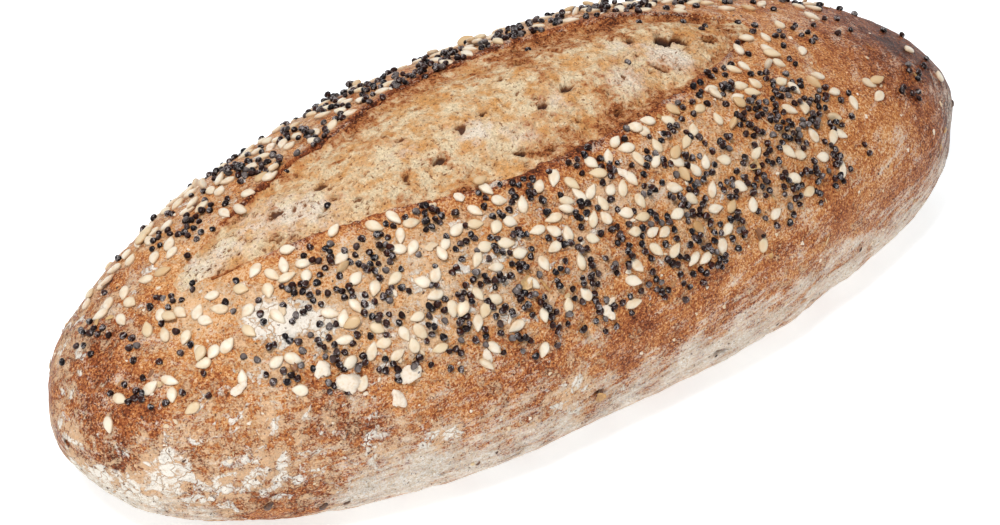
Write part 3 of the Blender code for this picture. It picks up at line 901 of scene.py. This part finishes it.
poppyLook = {
    "size": (1.36, 1.16, 1.04),
    "count": 1300,
    "tries": 100000,
    "seed": 23,
    "gap": 1.02,
    "sesameGap": 1.4,
    "sizes": (0.84, 1.12),
    "tilt": 0.6,
    "rise": 0.34,
    "band": (0.66, 0.82),
    "bandNarrowing": 0.3,
    "endsLeft": (0.62, 0.86),
    "endsRight": (0.42, 0.66),
    "tips": (0.9, 0.98),
    "strewn": (0.04, 0.09, 7.0),  # density between the clumps, what drifts add, and their spacing
    "clumped": (2.2, 3.0),  # density in a clump, and the spacing of its gaps
    "pileReach": 1.16,
    "pileGap": 1.3,  # the square of how near two seeds can come
    "pileShare": 0.45,
    "pileTop": 1.0,
    # the clumps that stand out: x, y and reach
    "clumps": ((-84, -8, 3), (-80, -16, 2), (-84, 7, 3), (-81, -2, 3), (-76, -9, 2), (-74, -1, 3),
               (-66, -20, 2), (-59, -24, 4), (-54, -14, 4), (-52, -26, 4), (-49, -15, 3), (-44, -20, 4),
               (-43, -30, 4), (-38, -13, 4), (-37, -28, 4), (-31, -31, 4), (-30, -16, 4), (-28, -36, 4),
               (-26, -28, 4), (-25, -16, 3), (-21, -33, 6), (-19, -20, 4), (-15, -22, 3), (-14, -34, 4),
               (-9, -25, 4), (-7, -30, 5), (-2, -22, 3), (-4, -34, 4), (0, -26, 3), (4, -29, 4),
               (7, -35, 4), (12, -33, 4), (17, -20, 4), (17, -31, 6), (15, -36, 3), (26, -14, 3),
               (31, -28, 5), (33, -12, 3), (35, -18, 4), (38, -21, 4), (41, -31, 5), (44, -27, 4),
               (47, -19, 4), (50, -24, 4), (46, -32, 3), (56, -19, 3), (64, 0, 4), (56, -2, 3),
               (75, -19, 2), (80, -14, 2), (72, 8, 3), (-66, 13, 3), (-59, 11, 3), (-46, 18, 4),
               (-42, 13, 5), (-35, 17, 4), (-24, 18, 5), (-15, 18, 4), (-6, 18, 4), (2, 19, 3),
               (12, 18, 5), (22, 19, 3), (31, 17, 4), (36, 18, 4), (50, 15, 3), (-50, 34, 5),
               (-20, 36, 6), (10, 36, 5), (32, 35, 6), (58, 28, 6)),
    "onCrumb": 14,
    "ball": (9, 6),
    # painted shade: a near-black outline blended in round each seed's edge
    "rim": ("#08070A", 0.9),
    "tones": ("#240E0A", "#2D130D", "#341710", "#3A201A", "#4C3935", "#706561", "#3C180E", "#270F0A",
              "#20110F", "#181014"),
}


def poppyDensity(u, angle, plain):
    look = poppyLook
    across, half = float(acrossScore(plain[0], plain[1])), float(scoreHalf(plain[0]))
    if abs(across) < 1.0 or -1 - 0.9 / max(1.0, half) < across < 0 and half > 6:
        return 0.0  # the front lip is bare
    share = max(0.0, float(flankShare(u, angle)))
    band = 1 - smoothStep(*look["band"], share + look["bandNarrowing"] * u * u)
    near, far = look["endsLeft"] if u < 0 else look["endsRight"]
    ends = 1 - 0.75 * smoothStep(near, far, abs(u)) - 0.25 * smoothStep(*look["tips"], abs(u))
    even, drifts, driftSpacing = look["strewn"]
    most, gapSpacing = look["clumped"]
    clump = sum(math.exp(-((plain[0] - x) ** 2 + (plain[1] - y) ** 2) / reach ** 2)
                for x, y, reach in look["clumps"])
    broken = smoothStep(-0.35, 0.3, noise.noise(plain / gapSpacing))
    drift = smoothStep(-0.1, 0.5, noise.noise(plain / driftSpacing + 4.4))
    return float(band * ends * (even + drifts * drift + most * min(1.0, clump) * broken))


def poppyPlaces(sesame, crumb):
    # seeds lie on the crust, in thick clumps some rest on those below, and a few fell on the crumb
    look = poppyLook
    draw = random.Random(look["seed"])
    sesameCentres = np.array([bit["centre"] for bit in sesame])
    feet, heights, bits = np.full((look["count"], 3), 999.0), np.zeros(look["count"]), []
    for _ in range(look["tries"]):
        u, angle = draw.uniform(-0.98, 0.98), draw.uniform(0.05, math.pi - 0.05)
        keep, spin = draw.random(), draw.uniform(0, 2 * math.pi)
        tilt, size = draw.uniform(-look["tilt"], look["tilt"]), draw.uniform(*look["sizes"])
        tone, piled = draw.choice(look["tones"]), draw.random()
        if len(bits) == look["count"]:
            break
        plain = plainPoint(u, angle)
        density = poppyDensity(u, angle, plain)
        if keep > density:
            continue
        foot = crustPoint(u, angle)[0]
        if np.linalg.norm(sesameCentres - foot, axis=1).min() < look["sesameGap"]:
            continue
        apart = np.linalg.norm(feet - foot, axis=1)
        height = 0.0
        if apart.min() < look["gap"]:
            below = apart[(apart < look["pileReach"]) & (heights == 0)]
            height = float(np.sqrt(np.maximum(0, look["pileGap"] - below ** 2)).max()) if below.size else 9
            crowded = (apart[heights > 0] < look["gap"]).any()
            if piled > look["pileShare"] * density or height > look["pileTop"] or crowded:
                continue
        feet[len(bits)], heights[len(bits)] = foot, height
        bits.append({"centre": foot, "normal": normalAt(u, angle), "spin": spin, "tilt": tilt,
                     "size": np.array(look["size"]) / 2 * size, "rise": look["rise"] + height,
                     "tone": tone})
    print("placed", len(bits), "poppy seeds, piled", int((heights > 0).sum()))
    crumbPoints, crumbNormals = crumb
    for k in draw.sample(range(len(crumbPoints)), look["onCrumb"]):
        bits.append({"centre": crumbPoints[k], "normal": crumbNormals[k], "spin": draw.uniform(0, 6),
                     "size": np.array(look["size"]) / 2, "rise": 0.2, "tone": draw.choice(look["tones"])})
    return bits


def poppyShape(ball, bit):
    form = ball.copy()
    form[:, 1] += 0.3 * ball[:, 0] ** 2 - 0.1  # bent like a kidney
    return form


def poppyMaterial():
    # Ripe poppy seed with a netted skin: purple-black, with grey patches on the net that are partly a waxy
    # bloom and partly painted glints
    material, tree, shader, place = newMaterial("nettedPoppySeed")
    tone = addNode(tree, "ShaderNodeAttribute", {"attribute_name": "tone"}).outputs["Color"]
    net = addNode(tree, "ShaderNodeTexVoronoi", {"feature": "DISTANCE_TO_EDGE"}, Vector=place,
                  Scale=1 / (0.36 * mm)).outputs["Distance"]
    ridge = addNode(tree, "ShaderNodeMapRange", Value=net, From_Min=0.02, From_Max=0.2, To_Min=0.85,
                    To_Max=0.0).outputs[0]
    # grey patches on the net's ridges: partly the seed's bloom, partly painted glints
    bloomGlintNoise = addNode(tree, "ShaderNodeTexNoise", Vector=place, Scale=1 / (0.7 * mm), Detail=1.0)
    bloomAndGlint = addNode(tree, "ShaderNodeMapRange", Value=bloomGlintNoise.outputs["Fac"], From_Min=0.53,
                    From_Max=0.62, To_Min=0.0, To_Max=1.0).outputs[0]
    shown = addNode(tree, "ShaderNodeMath", {"operation": "MULTIPLY"}, _0=ridge, _1=bloomAndGlint).outputs[0]
    color = addNode(tree, "ShaderNodeMix", {"data_type": "RGBA"}, _0=shown, _6=tone,
                    _7=hexColor("#B0A9A8")).outputs[2]
    tree.links.new(color, shader.inputs["Base Color"])
    shader.inputs["Roughness"].default_value = 0.3
    shader.inputs["Specular IOR Level"].default_value = 0.17
    bump = addNode(tree, "ShaderNodeBump", {"invert": True}, Height=net, Strength=0.6, Distance=0.12 * mm)
    tree.links.new(bump.outputs["Normal"], shader.inputs["Normal"])
    return material


# Flour and dough crumbs

crumbsLook = {
    # the ones that stand out: x, angle round the roll and size
    "large": ((-25, 113, 2.2), (-30, 112, 1.6), (-61, 118, 1.8), (-57, 151, 4.2), (-60, 143, 3.2),
              (-47, 155, 3.2), (-50, 162, 3.4), (-73, 138, 2.4), (-9, 161, 2.6), (-8, 158, 1.6),
              (4, 126, 1.8), (-34, 122, 1.8), (-44, 130, 1.5), (-33, 159, 2.2), (-40, 58, 2.2),
              (10, 44, 2.4), (40, 60, 1.6), (-10, 24, 3.0)),
    "small": 170,
    "smallSizes": (0.35, 0.95),
    "anglesDeg": (10, 190),
    "forms": ((0.8, 1.2), (0.6, 0.9), (0.3, 0.5)),  # length, width and height for a size of 1
    "ball": (18, 12),
    "rim": ("#000000", 0.0),
    "seed": 31,
    "palest": 2,  # larger ones have the first tone
    "tones": ("#EADCCA", "#E6D6C1", "#DCC6A9"),
}


def crumbBits():
    look = crumbsLook
    draw = random.Random(look["seed"])
    places = strewnPlaces(draw, look["small"], *look["anglesDeg"])
    spots = [*look["large"], *((*place, draw.uniform(*look["smallSizes"])) for place in places)]
    bits = []
    for x, angleDeg, size in spots:
        centre, normal = crustPlaceAt(x, angleDeg)
        form = np.array([draw.uniform(*span) for span in look["forms"]])
        spin = draw.uniform(0, 2 * math.pi)
        tone = look["tones"][0] if size > look["palest"] else draw.choice(look["tones"])
        bits.append({"centre": centre, "normal": normal, "spin": spin, "size": form * size / 2,
                     "rise": 0.12 * size, "tone": tone, "shift": draw.uniform(0, 99)})
    return bits


def lumpShape(ball, bit):
    # a broken lump with blunt corners
    rough = 1 + 0.7 * noiseAt(ball, 1.1, bit["shift"]) + 0.25 * noiseAt(ball, 0.35, bit["shift"])
    return ball * rough[:, None]


def flourMaterial():
    # Dried flour and dough: chalky, off-white, faintly yellow where it took the heat
    material, tree, shader, _, grain = tintedMaterial("driedFlourDough", 0.5, 3.0, "#D8B88E",
                                                      (0.45, 0.75, 0.6))
    shader.inputs["Roughness"].default_value = 0.92
    shader.inputs["Specular IOR Level"].default_value = 0.2
    bump = addNode(tree, "ShaderNodeBump", Height=grain, Strength=0.6, Distance=0.2 * mm)
    tree.links.new(bump.outputs["Normal"], shader.inputs["Normal"])
    return material


# Bran, husks and splinters

branLook = {
    # the ones that stand out: x, angle round the roll, length, width and bend
    "large": ((-22, 143, 2.8, 2.1, 0.7), (25, 158, 2.6, 1.6, 1.0), (29, 138, 2.4, 1.9, 1.2),
              (-64, 138, 2.0, 1.2, 0.8), (46, 88, 3.0, 1.5, 0.8), (-19, 146, 2.8, 0.5, 0.2),
              (-24, 150, 2.4, 0.45, 0.1), (-12, 185, 2.2, 1.8, 0.9)),
    # dark broken grains pressed into the foot of the crust: x, angle and size
    "grains": ((-72, 197, 2.6), (-63, 202, 2.2), (-59, 203, 1.4), (90, 176, 1.4), (30, 198, 1.2),
               (-84, 168, 0.9), (52, 186, 1.0), (-36, 196, 1.0)),
    "flakes": (34, (0.8, 1.7), (0.6, 1.1), (0, 0.8)),  # count, lengths, widths and bends
    "splinters": (44, (1.0, 2.2), (0.18, 0.3), (0, 0.3)),
    "smallGrains": (60, (0.3, 0.7)),  # count and sizes
    "anglesDeg": (8, 196),
    "grainAnglesDeg": (6, 200),
    "thickness": 0.2,
    "ball": (12, 8),
    "rim": ("#000000", 0.0),
    "seed": 57,
    "tones": ("#D3AE78", "#C4975C", "#B07D4D", "#DBC094", "#8A5B3B"),
    "darkTones": ("#3C241A", "#54331F", "#2C1B16"),
}


def branBits():
    look = branLook
    draw = random.Random(look["seed"])
    flakes, *flakeSpans = look["flakes"]
    splinters, *splinterSpans = look["splinters"]
    kinds = list(look["large"])
    for k, place in enumerate(strewnPlaces(draw, flakes + splinters, *look["anglesDeg"])):
        spans = flakeSpans if k < flakes else splinterSpans
        kinds.append((*place, *(draw.uniform(*span) for span in spans)))
    bits = []
    for x, angleDeg, length, width, bend in kinds:
        centre, normal = crustPlaceAt(x, angleDeg)
        bits.append({"centre": centre, "normal": normal, "spin": draw.uniform(0, 2 * math.pi),
                     "tilt": draw.uniform(-0.2, 0.2), "bend": bend,
                     "size": (length / 2, width / 2, look["thickness"] / 2), "rise": 0.12,
                     "tone": draw.choice(look["tones"])})
    small, sizes = look["smallGrains"]
    smallPlaces = strewnPlaces(draw, small, *look["grainAnglesDeg"])
    for x, angleDeg, size in [*look["grains"], *((*p, draw.uniform(*sizes)) for p in smallPlaces)]:
        centre, normal = crustPlaceAt(x, angleDeg)
        bits.append({"centre": centre, "normal": normal, "spin": draw.uniform(-0.4, 0.4), "bend": 0.0,
                     "size": (size / 2, size * draw.uniform(0.22, 0.32), size * 0.2),
                     "rise": 0.02, "tone": draw.choice(look["darkTones"])})
    return bits


def flakeShape(ball, bit):
    # a thin husk that curls up along its length
    form = ball.copy()
    form[:, 1] *= 1 + 0.2 * np.sin(4 * ball[:, 0])
    form[:, 2] += bit["bend"] * bit["size"][1] / bit["size"][2] * ball[:, 1] ** 2
    return form


def branMaterial():
    # Wheat bran and husk: thin, straw-gold to brown, with a dry sheen along the grain
    material, tree, shader, _, grain = tintedMaterial("dryWheatBran", 0.6, 3.0, "#8A5D3C",
                                                      (0.4, 0.7, 0.6))
    shader.inputs["Roughness"].default_value = 0.5
    bump = addNode(tree, "ShaderNodeBump", Height=grain, Strength=0.4, Distance=0.1 * mm)
    tree.links.new(bump.outputs["Normal"], shader.inputs["Normal"])
    return material


# Stage: camera, floor and light

stageLook = {
    "azimuthDeg": -35.95,  # the photographer stands to the left of the roll's front
    "elevationDeg": 38.0,
    "distance": 700.0,
    "aim": (-12.45, -10.53, 26.63),
    "focalPixels": 3968.0,
    "frameWidth": 1000.0,
    "floorColor": "#EDF1F4",
    "floorGlow": 0.62,
    "floorHalf": 3.0,  # metres
    "floorDrop": 0.05,  # below the sole
    "skyStrength": 0.38,
    # place and size in metres, and watts
    "lights": {"key": ((-0.4, -0.25, 0.9), (0.26, 0.22), 7.6), "rim": ((0.5, 0.6, 0.8), (0.6, 0.4), 2.5)},
    "lightAim": (0, 0, 0.03),
}


def makeCamera():
    look = stageLook
    camera = bpy.data.objects.new("camera", bpy.data.cameras.new("camera"))
    bpy.context.scene.collection.objects.link(camera)
    azimuth, elevation = math.radians(look["azimuthDeg"]), math.radians(look["elevationDeg"])
    back = Vector((math.sin(azimuth) * math.cos(elevation),
                   -math.cos(azimuth) * math.cos(elevation), math.sin(elevation)))
    camera.location = (Vector(look["aim"]) + back * look["distance"]) * mm
    camera.rotation_mode = "QUATERNION"
    camera.rotation_quaternion = (-back).to_track_quat("-Z", "Y")
    camera.data.sensor_width = 36.0
    camera.data.lens = camera.data.sensor_width * look["focalPixels"] / look["frameWidth"]
    camera.data.clip_start, camera.data.clip_end = 0.01, 20
    bpy.context.scene.camera = camera


def makeFloor():
    # Matt white acrylic lit from below: no grain, an even glow and only a faint shadow
    material, _, shader, _ = newMaterial("whiteLightTable")
    shader.inputs["Base Color"].default_value = hexColor(stageLook["floorColor"])
    shader.inputs["Roughness"].default_value = 0.9
    shader.inputs["Specular IOR Level"].default_value = 0.0
    shader.inputs["Emission Color"].default_value = hexColor(stageLook["floorColor"])
    shader.inputs["Emission Strength"].default_value = stageLook["floorGlow"]
    mesh = bpy.data.meshes.new("floor")
    half = stageLook["floorHalf"]
    mesh.from_pydata([(-half, -half, 0), (half, -half, 0), (half, half, 0), (-half, half, 0)], [],
                     [(0, 1, 2, 3)])
    mesh.materials.append(material)
    floor = bpy.data.objects.new("floor", mesh)
    floor.location.z = -stageLook["floorDrop"] * mm
    bpy.context.scene.collection.objects.link(floor)


def areaLight(name, place, aim, size, watts):
    data = bpy.data.lights.new(name, "AREA")
    data.shape = "RECTANGLE"
    data.size, data.size_y = size
    data.energy = watts
    light = bpy.data.objects.new(name, data)
    light.location = place
    light.rotation_mode = "QUATERNION"
    light.rotation_quaternion = (Vector(aim) - Vector(place)).to_track_quat("-Z", "Y")
    bpy.context.scene.collection.objects.link(light)


def makeLight():
    world = bpy.data.worlds.new("studio")
    world.use_nodes = True
    background = world.node_tree.nodes["Background"]
    background.inputs["Color"].default_value = hexColor("#FFFFFF")
    background.inputs["Strength"].default_value = stageLook["skyStrength"]
    bpy.context.scene.world = world
    for name, (place, size, watts) in stageLook["lights"].items():
        areaLight(name, place, stageLook["lightAim"], size, watts)
    bpy.context.scene.view_settings.view_transform = "Standard"


makeCamera()
makeFloor()
makeLight()
makeCrust(crustMaterial())
crumb = makeCrumb(crumbMaterial())
sesame = sesamePlaces()
sesame += looseSesame(sesame)
scatterPiece("sesame_seeds", sesameMaterial(), sesameLook, sesameShape, sesame)
scatterPiece("poppy_seeds", poppyMaterial(), poppyLook, poppyShape, poppyPlaces(sesame, crumb))
scatterPiece("flour_crumbs", flourMaterial(), crumbsLook, lumpShape, crumbBits())
scatterPiece("bran_flakes", branMaterial(), branLook, flakeShape, branBits())
